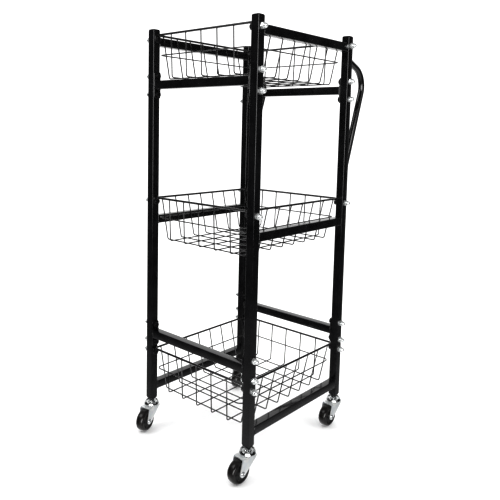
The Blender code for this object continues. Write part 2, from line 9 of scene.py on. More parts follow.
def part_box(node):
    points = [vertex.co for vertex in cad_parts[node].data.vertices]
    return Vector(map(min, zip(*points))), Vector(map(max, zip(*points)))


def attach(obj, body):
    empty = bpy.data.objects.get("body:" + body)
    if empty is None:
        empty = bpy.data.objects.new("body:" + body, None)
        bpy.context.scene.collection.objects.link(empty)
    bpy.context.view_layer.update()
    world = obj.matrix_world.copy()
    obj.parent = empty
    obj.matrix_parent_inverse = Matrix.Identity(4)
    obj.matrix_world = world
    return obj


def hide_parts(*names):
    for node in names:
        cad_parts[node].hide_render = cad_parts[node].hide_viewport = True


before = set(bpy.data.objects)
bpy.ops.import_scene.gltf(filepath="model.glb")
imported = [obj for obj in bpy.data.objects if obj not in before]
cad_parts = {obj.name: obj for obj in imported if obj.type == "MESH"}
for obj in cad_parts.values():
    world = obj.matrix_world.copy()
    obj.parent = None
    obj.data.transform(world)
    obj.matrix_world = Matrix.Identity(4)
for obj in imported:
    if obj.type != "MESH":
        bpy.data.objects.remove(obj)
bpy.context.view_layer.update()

# Looks of the three-basket rolling pantry cart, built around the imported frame.
# Lengths below are in millimetres unless a name says otherwise.
MM = 0.001
scene = bpy.context.scene
rng = random.Random(20)

# ---- places, read from the frame ---------------------------------------------
TUBE = 20.0
HALF = TUBE / 2
_lo, _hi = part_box("right_side_frame")
HALF_X = _hi.x / MM - HALF
HALF_Y = (_hi.y - _lo.y) / 2 / MM - HALF
MIDDLE = Vector((0, (_lo.y + _hi.y) / 2, 0))  # middle of the four posts; pieces are drawn about it
POST_BOTTOM = _lo.z / MM
POST_TOP = _hi.z / MM
POSTS = {"front_left": (-1, -1), "front_right": (1, -1), "rear_right": (1, 1), "rear_left": (-1, 1)}
BASKETS = {level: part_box(level + "_basket") for level in ("bottom", "middle", "top")}
RAIL_HEIGHTS = (109.0, 540.0, 974.0)
CROSSBARS = {}
for level in ("lower", "upper"):
    lo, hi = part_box(f"front_{level}_crossbar")
    CROSSBARS[level] = (lo.z + hi.z) / 2 / MM
FLANGE_PITCH = 44.0

# baskets
RIM_X, RIM_Y = 150.8, 177.0
FLOOR_X, FLOOR_Y = 127.0, 172.5
DEPTH = 103.0
MID_DOWN = 48.0
RIM_WIRE, MESH_WIRE = 2.6, 1.4
CROSS_WIRES, PITCH_Y = 8, 44.5
LONG_WIRES, PITCH_X = 5, 49.4
RIM_ABOVE_BOLT = 9.0

# casters
TRAIL = 27.0
WHEEL_RADIUS = 27.0
FORK_TOP = 58.0


# ---- materials ---------------------------------------------------------------
class Nodes:
    """Short names for building one shader."""

    def __init__(self, name):
        self.mat = bpy.data.materials.new(name)
        self.mat.use_nodes = True
        self.tree = self.mat.node_tree
        self.shader = self.tree.nodes["Principled BSDF"]
        coords = self.tree.nodes.new("ShaderNodeTexCoord")
        self.coords = coords.outputs["Object"]
        self.bumps = None

    def new(self, kind, **values):
        node = self.tree.nodes.new(kind)
        for key, value in values.items():
            setattr(node, key, value)
        return node

    def link(self, a, b):
        self.tree.links.new(a, b)

    def stretched(self, scale):
        node = self.new("ShaderNodeMapping")
        node.inputs["Scale"].default_value = scale
        self.link(self.coords, node.inputs["Vector"])
        return node.outputs["Vector"]

    def noise(self, scale, detail=3.0, rough=0.5, vector=None):
        node = self.new("ShaderNodeTexNoise")
        node.inputs["Scale"].default_value = scale
        node.inputs["Detail"].default_value = detail
        node.inputs["Roughness"].default_value = rough
        self.link(vector or self.coords, node.inputs["Vector"])
        return node.outputs["Fac"]

    def voronoi(self, scale, feature="SMOOTH_F1"):
        node = self.new("ShaderNodeTexVoronoi", feature=feature)
        node.inputs["Scale"].default_value = scale
        self.link(self.coords, node.inputs["Vector"])
        return node.outputs["Distance"]

    def ramp(self, fac, low, high, start=0.3, end=0.7):
        node = self.new("ShaderNodeValToRGB")
        node.color_ramp.elements[0].position = start
        node.color_ramp.elements[0].color = (*low, 1)
        node.color_ramp.elements[1].position = end
        node.color_ramp.elements[1].color = (*high, 1)
        self.link(fac, node.inputs["Fac"])
        return node.outputs["Color"]

    def span(self, fac, low, high, start=0.3, end=0.7):
        node = self.new("ShaderNodeMapRange")
        node.inputs["From Min"].default_value = start
        node.inputs["From Max"].default_value = end
        node.inputs["To Min"].default_value = low
        node.inputs["To Max"].default_value = high
        self.link(fac, node.inputs["Value"])
        return node.outputs["Result"]

    def math(self, operation, a, b):
        node = self.new("ShaderNodeMath", operation=operation)
        for i, value in enumerate((a, b)):
            if isinstance(value, (int, float)):
                node.inputs[i].default_value = value
            else:
                self.link(value, node.inputs[i])
        return node.outputs["Value"]

    def mix(self, fac, a, b):
        node = self.new("ShaderNodeMix", data_type="RGBA")
        self.link(fac, node.inputs["Factor"])
        for socket, value in ((node.inputs["A"], a), (node.inputs["B"], b)):
            if isinstance(value, tuple):
                socket.default_value = (*value, 1)
            else:
                self.link(value, socket)
        return node.outputs["Result"]

    def bump(self, height, strength, distance):
        node = self.new("ShaderNodeBump")
        node.inputs["Strength"].default_value = strength
        node.inputs["Distance"].default_value = distance
        self.link(height, node.inputs["Height"])
        if self.bumps is not None:
            self.link(self.bumps, node.inputs["Normal"])
        self.bumps = node.outputs["Normal"]
        self.link(self.bumps, self.shader.inputs["Normal"])

    def put(self, name, value):
        socket = self.shader.inputs[name]
        if isinstance(value, (int, float)):
            socket.default_value = value
        elif isinstance(value, tuple):
            socket.default_value = (*value, 1)
        else:
            self.link(value, socket)


def powder_coat():
    """Gloss black powder coat: orange peel, faint clouding and a few dust nibs."""
    n = Nodes("powder_coat_black")
    cloud = n.noise(26.0, 4.0, 0.6)
    along = n.noise(60.0, 3.0, 0.55, n.stretched((1.0, 1.0, 0.12)))
    base = n.ramp(cloud, (0.0045, 0.0045, 0.005), (0.011, 0.011, 0.012))
    nibs = n.noise(520.0, 2.0, 0.6)
    speck = n.span(nibs, 0.0, 1.0, 0.70, 0.76)
    n.put("Base Color", n.mix(speck, base, (0.03, 0.03, 0.032)))
    rough = n.math("ADD", n.span(cloud, 0.11, 0.17), n.span(along, 0.0, 0.05))
    n.put("Roughness", n.math("ADD", rough, n.math("MULTIPLY", speck, 0.15)))
    n.bump(n.voronoi(420.0), 0.10, 0.00025)
    n.bump(n.noise(1500.0, 3.0, 0.6), 0.05, 0.00008)
    n.put("Coat Weight", 0.6)
    n.put("Coat Roughness", 0.05)
    n.put("Specular IOR Level", 0.5)
    return n.mat


def wire_coat():
    """Dipped black coating on drawn wire: slightly uneven."""
    n = Nodes("wire_coat_black")
    cloud = n.noise(85.0, 4.0, 0.6)
    n.put("Base Color", n.ramp(cloud, (0.004, 0.004, 0.0045), (0.012, 0.012, 0.013)))
    n.put("Roughness", n.span(n.noise(240.0, 3.0, 0.5), 0.16, 0.30))
    n.bump(n.voronoi(900.0), 0.10, 0.00015)
    n.bump(n.noise(300.0, 2.0, 0.5), 0.12, 0.00020)
    n.put("Coat Weight", 0.70)
    n.put("Coat Roughness", 0.07)
    return n.mat


def moulded_plastic(name, low, high, grain):
    """Satin moulded plastic with a fine spark-eroded grain."""
    n = Nodes(name)
    cloud = n.noise(140.0, 3.0, 0.5)
    n.put("Base Color", n.ramp(cloud, low, high))
    n.put("Roughness", n.span(n.noise(700.0, 3.0, 0.6), 0.36, 0.52))
    n.bump(n.noise(grain, 4.0, 0.65), 0.22, 0.00012)
    return n.mat


def wheel_tread():
    """Black moulded tread: glossy, with faint turning marks round the axle and dust in them."""
    n = Nodes("wheel_tread_black")
    rings = n.noise(900.0, 2.0, 0.5, n.stretched((0.02, 0.02, 1.0)))
    cloud = n.noise(90.0, 4.0, 0.6)
    base = n.ramp(cloud, (0.006, 0.0055, 0.005), (0.015, 0.013, 0.0125))
    dust = n.span(n.noise(60.0, 5.0, 0.7), 0.0, 0.35, 0.55, 0.8)
    n.put("Base Color", n.mix(dust, base, (0.035, 0.032, 0.030)))
    n.put("Roughness", n.math("ADD", n.span(cloud, 0.20, 0.32), n.span(rings, 0.0, 0.10)))
    n.bump(rings, 0.15, 0.00012)
    n.bump(n.noise(1200.0, 3.0, 0.6), 0.08, 0.00008)
    n.put("Coat Weight", 0.3)
    n.put("Coat Roughness", 0.15)
    return n.mat


def bright_zinc(name, metallic, dull):
    """Bright zinc plate on pressed steel: drawn grain, faint blue and straw tints, small scratches."""
    n = Nodes(name)
    tint = n.noise(55.0, 3.0, 0.6)
    base = n.ramp(tint, (0.70, 0.735, 0.77), (0.86, 0.855, 0.83))
    grain = n.noise(700.0, 3.0, 0.55, n.stretched((1.0, 0.06, 0.10)))
    stain = n.span(n.noise(210.0, 4.0, 0.7), 0.0, 0.20, 0.66, 0.86)
    n.put("Base Color", n.mix(stain, base, (0.42, 0.43, 0.45)))
    n.put("Metallic", metallic)
    rough = n.math("ADD", n.span(tint, 0.13 + dull, 0.20 + dull), n.span(grain, 0.0, 0.08))
    n.put("Roughness", n.math("ADD", rough, n.math("MULTIPLY", stain, 0.12)))
    n.bump(grain, 0.03, 0.00003)
    n.bump(n.noise(210.0, 2.0, 0.5), 0.03, 0.00006)
    return n.mat


def bright_chrome():
    """Chrome plate on the dome nuts: near mirror, with light smudges and forging ripple."""
    n = Nodes("bright_chrome_plate")
    smudge = n.noise(170.0, 4.0, 0.65)
    n.put("Base Color", n.ramp(smudge, (0.80, 0.82, 0.82), (0.93, 0.94, 0.94)))
    n.put("Metallic", 0.74)
    n.put("Roughness", n.span(smudge, 0.05, 0.15))
    n.bump(n.noise(420.0, 3.0, 0.6), 0.06, 0.00015)
    return n.mat


def black_oxide():
    """Blackened steel bolt head: dark, slightly oily, brighter where a spanner has rubbed."""
    n = Nodes("black_oxide_steel")
    cloud = n.noise(260.0, 4.0, 0.65)
    rub = n.span(n.noise(520.0, 3.0, 0.6), 0.0, 0.6, 0.60, 0.78)
    base = n.ramp(cloud, (0.010, 0.010, 0.011), (0.030, 0.030, 0.032))
    n.put("Base Color", n.mix(rub, base, (0.10, 0.10, 0.105)))
    n.put("Metallic", 0.6)
    n.put("Roughness", n.span(cloud, 0.24, 0.42))
    n.bump(n.noise(900.0, 3.0, 0.6), 0.12, 0.00010)
    return n.mat


COAT = powder_coat()
WIRE = wire_coat()
PLASTIC = moulded_plastic("cap_plastic_black", (0.008, 0.008, 0.009), (0.016, 0.016, 0.017), 1600.0)
HUB = moulded_plastic("hub_plastic_black", (0.009, 0.009, 0.009), (0.018, 0.017, 0.016), 1100.0)
TREAD = wheel_tread()
ZINC = bright_zinc("bright_zinc_plate", 1.0, 0.0)
FORK_ZINC = bright_zinc("satin_zinc_plate", 0.64, 0.16)
CHROME = bright_chrome()
OXIDE = black_oxide()


# ---- shape helpers -----------------------------------------------------------
def finish_mesh(name, bm, mats, angle=38):
    bmesh.ops.recalc_face_normals(bm, faces=bm.faces)
    mesh = bpy.data.meshes.new(name)
    bm.to_mesh(mesh)
    bm.free()
    for mat in mats:
        mesh.materials.append(mat)
    mesh.shade_smooth()
    mesh.set_sharp_from_angle(angle=math.radians(angle))
    return mesh


def place(name, mesh, body, nodes=(), matrix=None):
    obj = bpy.data.objects.new(name, mesh)
    scene.collection.objects.link(obj)
    obj.matrix_world = Matrix.Translation(MIDDLE) @ (matrix or Matrix.Identity(4))
    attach(obj, body)
    if nodes:
        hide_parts(*nodes)
    return obj


def loft(bm, rings, closed=False, cap=True, mat=0):
    made = [[bm.verts.new(Vector(p) * MM) for p in ring] for ring in rings]
    count = len(made[0])
    pairs = list(zip(made, made[1:])) + ([(made[-1], made[0])] if closed else [])
    faces = []
    for a, b in pairs:
        for i in range(count):
            j = (i + 1) % count
            faces.append(bm.faces.new((a[i], a[j], b[j], b[i])))
    if cap and not closed:
        faces.append(bm.faces.new(list(reversed(made[0]))))
        faces.append(bm.faces.new(made[-1]))
    for face in faces:
        face.material_index = mat
    return made


def lathe(bm, profile, sides, mat=0):
    """A closed body round local Z. The profile starts and ends on the axis, or closes on itself."""
    rings = []
    for radius, height in profile:
        if radius < 1e-6:
            rings.append([bm.verts.new(Vector((0, 0, height)) * MM)])
        else:
            rings.append(
                [
                    bm.verts.new(
                        Vector((radius * math.cos(2 * math.pi * k / sides), radius * math.sin(2 * math.pi * k / sides), height)) * MM
                    )
                    for k in range(sides)
                ]
            )
    pairs = list(zip(rings, rings[1:])) + ([(rings[-1], rings[0])] if len(rings[0]) > 1 else [])
    for a, b in pairs:
        for i in range(sides):
            j = (i + 1) % sides
            if len(a) == 1:
                face = bm.faces.new((a[0], b[j], b[i]))
            elif len(b) == 1:
                face = bm.faces.new((a[i], a[j], b[0]))
            else:
                face = bm.faces.new((a[i], a[j], b[j], b[i]))
            face.material_index = mat


def rounded(half_u, half_v, radius, steps=5):
    """Outline of a rectangle with rounded corners."""
    points = []
    for cu, cv, start in ((1, 1, 0), (-1, 1, 90), (-1, -1, 180), (1, -1, 270)):
        for k in range(steps + 1):
            a = math.radians(start + 90 * k / steps)
            points.append((cu * (half_u - radius) + radius * math.cos(a), cv * (half_v - radius) + radius * math.sin(a)))
    return points


def on_axis(axis, s, u, v):
    return {"X": (s, u, v), "Y": (u, s, v), "Z": (u, v, s)}[axis]


def square_tube(bm, axis, a, b, cu, cv, half=HALF, radius=1.30, wall=1.5):
    """Hollow rounded square tube from a to b, its edges broken at both ends."""
    steps = 6
    outer = rounded(half, half, radius, steps)
    broken = rounded(half - 0.3, half - 0.3, radius - 0.2, steps)
    inner = rounded(half - wall, half - wall, max(0.6, radius - wall), steps)
    rows = [(broken, a), (outer, a + 0.3), (outer, b - 0.3), (broken, b), (inner, b), (inner, a)]
    loft(bm, [[on_axis(axis, s, cu + u, cv + v) for u, v in ring] for ring, s in rows], closed=True)


def bend(points, radius, steps=7, closed=False):
    """The same path with each corner turned into an arc."""
    points = [Vector(p) for p in points]
    count = len(points)
    path = []
    for i, here in enumerate(points):
        if not closed and i in (0, count - 1):
            path.append(here)
            continue
        back = (points[i - 1] - here).normalized()
        ahead = (points[(i + 1) % count] - here).normalized()
        half = back.angle(ahead) / 2
        if half > math.radians(88.5):
            path.append(here)
            continue
        turn = math.pi - 2 * half
        centre = here + (back + ahead).normalized() * (radius / math.sin(half))
        first = here + back * (radius / math.tan(half)) - centre
        last = here + ahead * (radius / math.tan(half)) - centre
        for k in range(steps + 1):
            s = k / steps
            path.append(centre + (first * math.sin((1 - s) * turn) + last * math.sin(s * turn)) / math.sin(turn))
    return path


def sweep(bm, path, radius, normal, sides=12, closed=False, swell=None, squash=1.0, mat=0):
    """A wire along a flat path. swell gives the radius at each point."""
    path = [Vector(p) for p in path]
    normal = Vector(normal)
    count = len(path)
    rings = []
    for i, here in enumerate(path):
        before = path[i - 1] if closed or i > 0 else None
        after = path[(i + 1) % count] if closed or i < count - 1 else None
        into = (here - before).normalized() if before is not None else None
        out = (after - here).normalized() if after is not None else None
        into, out = into or out, out or into
        tangent = (into + out).normalized()
        side = tangent.cross(normal).normalized()
        r = swell(i) if swell else radius
        stretch = 1.0 / max(0.5, tangent.dot(out))
        ring = []
        for k in range(sides):
            a = 2 * math.pi * (k + 0.5) / sides
            ring.append(here + side * (r * math.cos(a) * stretch) + normal * (r * squash * math.sin(a)))
        if not closed and i == 0:
            rings.append([here - out * (0.35 * r) + (p - here) * 0.6 for p in ring])
        rings.append(ring)
        if not closed and i == count - 1:
            rings.append([here + into * (0.35 * r) + (p - here) * 0.6 for p in ring])
    loft(bm, rings, closed=closed, mat=mat)


def resample(outline, step):
    """Evenly spaced points along a closed outline of 2D points."""
    points = [Vector(p) for p in outline]
    lengths = [(points[(i + 1) % len(points)] - p).length for i, p in enumerate(points)]
    total = sum(lengths)
    count = int(round(total / step))
    result, i, used = [], 0, 0.0
    for k in range(count):
        want = total * k / count
        while used + lengths[i] < want:
            used += lengths[i]
            i += 1
        t = (want - used) / max(lengths[i], 1e-9)
        result.append(points[i].lerp(points[(i + 1) % len(points)], t))
    return result


def weld_bead(bm, axis, s, cu, cv, outline, size=1.25):
    """A rippled fillet of weld round a joint, lying in the plane at s."""
    flat = resample(outline, 0.85)
    jitter = [rng.uniform(-0.10, 0.10) for _ in flat]
    normal = on_axis(axis, 1, 0, 0)
    path = [on_axis(axis, s, cu + p.x, cv + p.y) for p in flat]
    sweep(bm, path, size, normal, 8, True, lambda i: size * (0.94 + 0.13 * math.cos(i * 2 * math.pi / 3.0)) + jitter[i])


def nugget(bm, centre, rx, ry, rz):
    """A small lump of weld where two wires cross."""
    levels, sides = 4, 8
    rings = []
    for k in range(1, levels):
        a = math.pi * k / levels - math.pi / 2
        rings.append(
            [
                (
                    centre[0] + rx * math.cos(a) * math.cos(2 * math.pi * j / sides),
                    centre[1] + ry * math.cos(a) * math.sin(2 * math.pi * j / sides),
                    centre[2] + rz * math.sin(a),
                )
                for j in range(sides)
            ]
        )
    made = loft(bm, rings, cap=False)
    for ring, z in ((made[0], -rz), (made[-1], rz)):
        pole = bm.verts.new(Vector((centre[0], centre[1], centre[2] + z)) * MM)
        for j in range(sides):
            bm.faces.new((ring[j], ring[(j + 1) % sides], pole))


# ---- side frames -------------------------------------------------------------
def side_frame(side):
    x = side * HALF_X
    bm = bmesh.new()
    for sign in (-1, 1):
        square_tube(bm, "Z", POST_BOTTOM, POST_TOP, x, sign * HALF_Y)
    reach = HALF_Y - HALF + 0.9
    for height in RAIL_HEIGHTS:
        square_tube(bm, "Y", -reach, reach, x, height)
        for sign in (-1, 1):
            weld_bead(bm, "Y", sign * (HALF_Y - HALF - 0.25), x, height, rounded(HALF - 0.3, HALF + 0.1, 1.6, 5), 1.2)
    name = ("left" if side < 0 else "right") + "_side_frame"
    place(name + "_tube", finish_mesh(name + "_tube", bm, [COAT]), "frame", [name])


side_frame(-1)
side_frame(1)


# ---- crossbars ---------------------------------------------------------------
def crossbar(name, y, height):
    outer = HALF_X - HALF - 0.3
    inner = outer - 3.0
    bm = bmesh.new()
    square_tube(bm, "X", -inner - 0.4, inner + 0.4, y, height)
    for sign in (-1, 1):
        plate = rounded(HALF, 31.0, 3.0, 5)
        eased = rounded(HALF - 0.5, 30.5, 2.6, 5)
        rows = [(eased, inner), (plate, inner + 0.5), (plate, outer - 0.4), (eased, outer)]
        loft(bm, [[(sign * s, y + u, height + v) for u, v in ring] for ring, s in rows])
        weld_bead(bm, "X", sign * (inner - 0.2), y, height, rounded(HALF - 0.4, HALF + 0.1, 1.6, 5), 1.25)
    place(name + "_bar", finish_mesh(name + "_bar", bm, [COAT]), "frame", [name])


for level, height in CROSSBARS.items():
    crossbar(f"front_{level}_crossbar", -HALF_Y, height)
    crossbar(f"rear_{level}_crossbar", HALF_Y, height)


# ---- post caps ---------------------------------------------------------------
def cap_mesh():
    bm = bmesh.new()
    rows = [(7.6, 1.0, -11.0), (8.1, 1.2, -9.6), (8.1, 1.2, -0.2), (8.1, 1.2, 0.3), (9.3, 2.2, 0.3), (9.6, 2.4, 0.5), (9.6, 2.4, 1.0)]
    rows += [(9.4, 2.5, 1.35), (8.8, 2.8, 1.7), (7.4, 3.0, 2.1), (5.2, 2.8, 2.4), (2.6, 1.8, 2.5)]
    loft(bm, [[(u, v, z) for u, v in rounded(half, half, radius, 5)] for half, radius, z in rows])
    return finish_mesh("post_cap_moulding", bm, [PLASTIC], 30)


CAP = cap_mesh()
for corner, (sx, sy) in POSTS.items():
    place(
        "post_cap_moulding_" + corner, CAP, "frame", ["post_cap_" + corner],
        Matrix.Translation(Vector((sx * HALF_X, sy * HALF_Y, POST_TOP)) * MM),
    )


# ---- wire baskets ------------------------------------------------------------
def lug_outline(inset):
    """Side view of a stamped lug about its bolt: straight sides and a round end below."""
    w, top = 8.0 - inset, RIM_ABOVE_BOLT + 0.9 - inset
    points = [(w, top), (w, 0.0)]
    points += [(w * math.cos(math.radians(a)), -(w - 0.4) * math.sin(math.radians(a))) for a in range(15, 180, 15)]
    return points + [(-w, 0.0), (-w, top)]


def basket(level):
    lo, hi = BASKETS[level]
    node = level + "_basket"
    bolt = hi.z / MM - 2.5 * 1.12 * math.sin(math.pi / 4) - RIM_ABOVE_BOLT  # the frame's rim wire is square, 2.5 mm in radius
    rim = bolt + RIM_ABOVE_BOLT
    floor = rim - DEPTH
    bm = bmesh.new()
    corners = [(RIM_X, RIM_Y, rim), (-RIM_X, RIM_Y, rim), (-RIM_X, -RIM_Y, rim), (RIM_X, -RIM_Y, rim)]
    sweep(bm, bend(corners, 9.0, 9, True), RIM_WIRE, (0, 0, 1), 16, True)

    # the level wire halfway down follows the taper of the walls
    part = MID_DOWN / (DEPTH - 5.0)
    mid_x = RIM_X + (FLOOR_X + 1.2 - RIM_X) * part + MESH_WIRE * 0.7
    mid_y = RIM_Y + (FLOOR_Y + 0.3 - RIM_Y) * part + MESH_WIRE * 0.7
    mid = rim - MID_DOWN
    corners = [(mid_x, mid_y, mid), (-mid_x, mid_y, mid), (-mid_x, -mid_y, mid), (mid_x, -mid_y, mid)]
    sweep(bm, bend(corners, 12.0, 9, True), MESH_WIRE, (0, 0, 1), 12, True)

    lean_x = (RIM_X - FLOOR_X - 1.2) / (DEPTH - 5.0)
    lean_y = (RIM_Y - FLOOR_Y - 0.3) / (DEPTH - 5.0)
    lift = MESH_WIRE * 1.1
    xs = [(i - (LONG_WIRES - 1) / 2) * PITCH_X for i in range(LONG_WIRES)]
    ys = [(i - (CROSS_WIRES - 1) / 2) * PITCH_Y for i in range(CROSS_WIRES)]
    corner_x = RIM_X - lean_x * DEPTH
    corner_y = RIM_Y - lean_y * (DEPTH - lift)
    for y in ys:
        points = [(-RIM_X, y, rim), (-corner_x, y, floor), (corner_x, y, floor), (RIM_X, y, rim)]
        sweep(bm, bend(points, 5.5, 7), MESH_WIRE, (0, 1, 0), 12)
        for side in (-1, 1):
            nugget(bm, (side * RIM_X, y, rim - 2.1), 1.8, 1.9, 1.6)
            nugget(bm, (side * (mid_x - MESH_WIRE * 0.3), y, mid), 1.5, 1.6, 1.5)
    for x in xs:
        points = [(x, -RIM_Y, rim), (x, -corner_y, floor + lift), (x, corner_y, floor + lift), (x, RIM_Y, rim)]
        sweep(bm, bend(points, 5.5, 7), MESH_WIRE, (1, 0, 0), 12)
        for side in (-1, 1):
            nugget(bm, (x, side * RIM_Y, rim - 2.1), 1.9, 1.8, 1.6)
            nugget(bm, (x, side * (mid_y - MESH_WIRE * 0.3), mid), 1.6, 1.5, 1.5)
        for y in ys:
            nugget(bm, (x, y, floor + lift / 2), 1.55, 1.55, 1.3)

    # stamped lugs, welded under the rim and bolted to the posts
    face = HALF_X - HALF - 0.3
    for sx in (-1, 1):
        for sy in (-1, 1):
            rows = [(0.5, face - 2.4), (0.0, face - 1.9), (0.0, face - 0.4), (0.4, face)]
            loft(bm, [[(sx * x, sy * HALF_Y + u, bolt + v) for u, v in lug_outline(inset)] for inset, x in rows])
            nugget(bm, (sx * (face - 2.2), sy * HALF_Y - 5.5, rim - 1.9), 1.2, 2.4, 1.3)
            nugget(bm, (sx * (face - 2.2), sy * HALF_Y + 0.0, rim - 1.9), 1.2, 2.4, 1.3)
    place(node + "_wirework", finish_mesh(node + "_wirework", bm, [WIRE], 50), "frame", [node])
    return bolt


BOLTS = {level + "_basket": basket(level) for level in BASKETS}
for level, height in CROSSBARS.items():
    BOLTS[level + "_crossbar_a"] = height + FLANGE_PITCH / 2
    BOLTS[level + "_crossbar_b"] = height - FLANGE_PITCH / 2


# ---- bow handles -------------------------------------------------------------
def handle_path():
    start = Vector((HALF_Y + HALF, 943.0))
    end = Vector((HALF_Y + HALF, 677.0))
    drop = math.tan(math.radians(22.0))
    run = (start.y - end.y) / (3.0 + drop)
    apex = start + Vector((run, -drop * run))
    return bend([(0, *start), (0, *apex), (0, *end)], 50.0, 28)


def bow_handle(name, x):
    bm = bmesh.new()
    path = handle_path()
    face = HALF_Y + HALF + 0.3
    sides = 32
    rings = []
    for i, here in enumerate(path):
        into = (here - path[i - 1]).normalized() if i else None
        out = (path[i + 1] - here).normalized() if i < len(path) - 1 else None
        into, out = into or out, out or into
        tangent = (into + out).normalized()
        side = Vector((0, -tangent.z, tangent.y))
        ring = []
        for k in range(sides):
            a = 2 * math.pi * (k + 0.5) / sides
            p = here + side * (8.0 * math.cos(a)) + Vector((8.0 * math.sin(a), 0, 0))
            if i in (0, len(path) - 1):
                p = p + tangent * ((face - p.y) / tangent.y)
            ring.append(p + Vector((x, 0, 0)))
        rings.append(ring)
    loft(bm, rings)
    for ring in (rings[0], rings[-1]):
        # weld round the end, on the post's rear face
        centre = sum(ring, Vector()) / len(ring)
        weld_bead(bm, "Y", face + 0.4, 0, 0, [(p.x, p.z) for p in (centre + (q - centre) * 1.02 for q in ring)], 1.2)
    place(name + "_tube", finish_mesh(name + "_tube", bm, [COAT]), "frame", [name])


bow_handle("left_bow_handle", -HALF_X)
bow_handle("right_bow_handle", HALF_X)


# ---- bolts and dome nuts -----------------------------------------------------
def hex_ring(flats, z, limit=None, slope=0.0, sides=48):
    """A hexagon's outline, or the lower edge of a cone-shaped chamfer on it."""
    points = []
    for k in range(sides):
        a = 2 * math.pi * k / sides
        local = (a + math.pi / 6) % (math.pi / 3) - math.pi / 6
        r = flats / 2 / math.cos(local)
        drop = max(0.0, r - limit) * slope if limit is not None else 0.0
        points.append((r * math.cos(a), r * math.sin(a), z - drop))
    return points


def circle(radius, z, sides=48):
    return [(radius * math.cos(2 * math.pi * k / sides), radius * math.sin(2 * math.pi * k / sides), z) for k in range(sides)]


def bolt_mesh(name, grip):
    bm = bmesh.new()
    rings = [circle(4.0, -grip), circle(4.0, 0.05), circle(6.0, 0.05), circle(6.1, 0.4), hex_ring(13.0, 0.4)]
    rings += [hex_ring(13.0, 5.3, 6.25, 0.6), circle(6.25, 5.3), circle(5.3, 5.3), circle(4.9, 5.0), circle(0.8, 4.95)]
    loft(bm, rings)
    return finish_mesh(name, bm, [OXIDE], 25)


def nut_mesh():
    bm = bmesh.new()
    rings = [circle(4.1, 0.0), circle(6.2, 0.0), hex_ring(13.0, 0.05, 6.3, -0.6), hex_ring(13.0, 6.5, 6.2, 0.6), circle(6.2, 6.5)]
    rings += [circle(5.5, 6.6), circle(5.3, 7.0), circle(5.55, 7.5), circle(5.75, 8.2), circle(5.75, 9.4)]
    for k in range(1, 11):
        a = math.radians(90 * k / 11)
        rings.append(circle(5.75 * math.cos(a), 9.4 + 5.5 * math.sin(a)))
    loft(bm, rings)
    return finish_mesh("dome_nut", bm, [CHROME], 28)


NUT = nut_mesh()
INSIDE = {"basket": HALF_X - HALF - 0.3 - 2.4, "crossbar": HALF_X - HALF - 0.3 - 3.0}
BOLT = {kind: bolt_mesh("hex_bolt_" + kind, HALF_X + HALF + 4 - s) for kind, s in INSIDE.items()}
for corner, (sx, sy) in POSTS.items():
    for label, height in BOLTS.items():
        kind = "basket" if label.endswith("basket") else "crossbar"
        centre = Vector((0, sy * HALF_Y, height)) * MM
        roll = Matrix.Rotation(math.radians(rng.uniform(-5, 5) if kind == "basket" else rng.uniform(0, 60)), 4, "Z")
        head = Matrix.Translation(centre + Vector((sx * INSIDE[kind] * MM, 0, 0))) @ Matrix.Rotation(-sx * math.pi / 2, 4, "Y") @ roll
        roll = Matrix.Rotation(rng.uniform(0, math.pi / 3), 4, "Z")
        cap = Matrix.Translation(centre + Vector((sx * (HALF_X + HALF + 0.2) * MM, 0, 0))) @ Matrix.Rotation(sx * math.pi / 2, 4, "Y") @ roll
        place(f"{label}_dome_nut_{corner}", NUT, "frame", [f"{label}_bolt_{corner}"], cap)
        place(f"{label}_hex_head_{corner}", BOLT[kind], "frame", (), head)


# ---- casters -----------------------------------------------------------------
def plug_mesh():
    """Tapered plastic plug that closes the lower end of a post."""
    bm = bmesh.new()
    rows = [(5.9, 3.6, -7.0), (6.4, 3.8, -6.8), (8.6, 3.4, -3.4), (9.5, 2.8, -1.8), (9.7, 2.5, -1.2), (9.7, 2.5, -0.2)]
    rows += [(8.2, 1.4, -0.2), (8.2, 1.4, 21.0), (7.4, 1.4, 23.5)]
    loft(bm, [[(u, v, POST_BOTTOM + z) for u, v in rounded(half, half, radius, 5)] for half, radius, z in rows])
    return finish_mesh("caster_plug", bm, [PLASTIC], 30)


def cup_mesh():
    """Upper bearing cup: a skirt that slopes in to a rolled ring, a dish inside it and the stem's collar."""
    bm = bmesh.new()
    profile = [(0, 60.2), (16.4, 60.2), (16.9, 60.5), (18.2, 60.6), (19.0, 60.8), (19.4, 61.2), (19.5, 61.8), (19.3, 62.4), (18.5, 64.2), (17.6, 66.1), (17.2, 66.9)]
    profile += [(16.7, 67.4), (16.1, 67.6), (15.4, 67.4), (14.9, 66.9), (14.3, 65.8), (13.4, 64.9), (12.2, 64.45), (10.6, 64.4), (9.5, 64.6)]
    profile += [(9.0, 65.2), (8.7, 67.2), (8.2, 67.7), (7.0, 67.8), (6.7, 68.2), (6.7, 71.8), (6.3, 72.2), (0, 72.2)]
    lathe(bm, profile, 72)
    lathe(bm, [(0, 53.4), (5.0, 53.4), (5.9, 54.0), (6.0, 55.7), (3.2, 55.7), (3.2, 63.0), (0, 63.0)], 32)
    return finish_mesh("caster_cup", bm, [ZINC], 32)


def fork_outline():
    points = [(-14.2, FORK_TOP), (-14.5, FORK_TOP - 3.9)]
    for k in range(19):
        a = math.radians(-135 + 150 * k / 18)
        points.append((TRAIL + 8.0 * math.cos(a), WHEEL_RADIUS + 8.0 * math.sin(a)))
    points.append((TRAIL + 0.5, FORK_TOP))
    return points


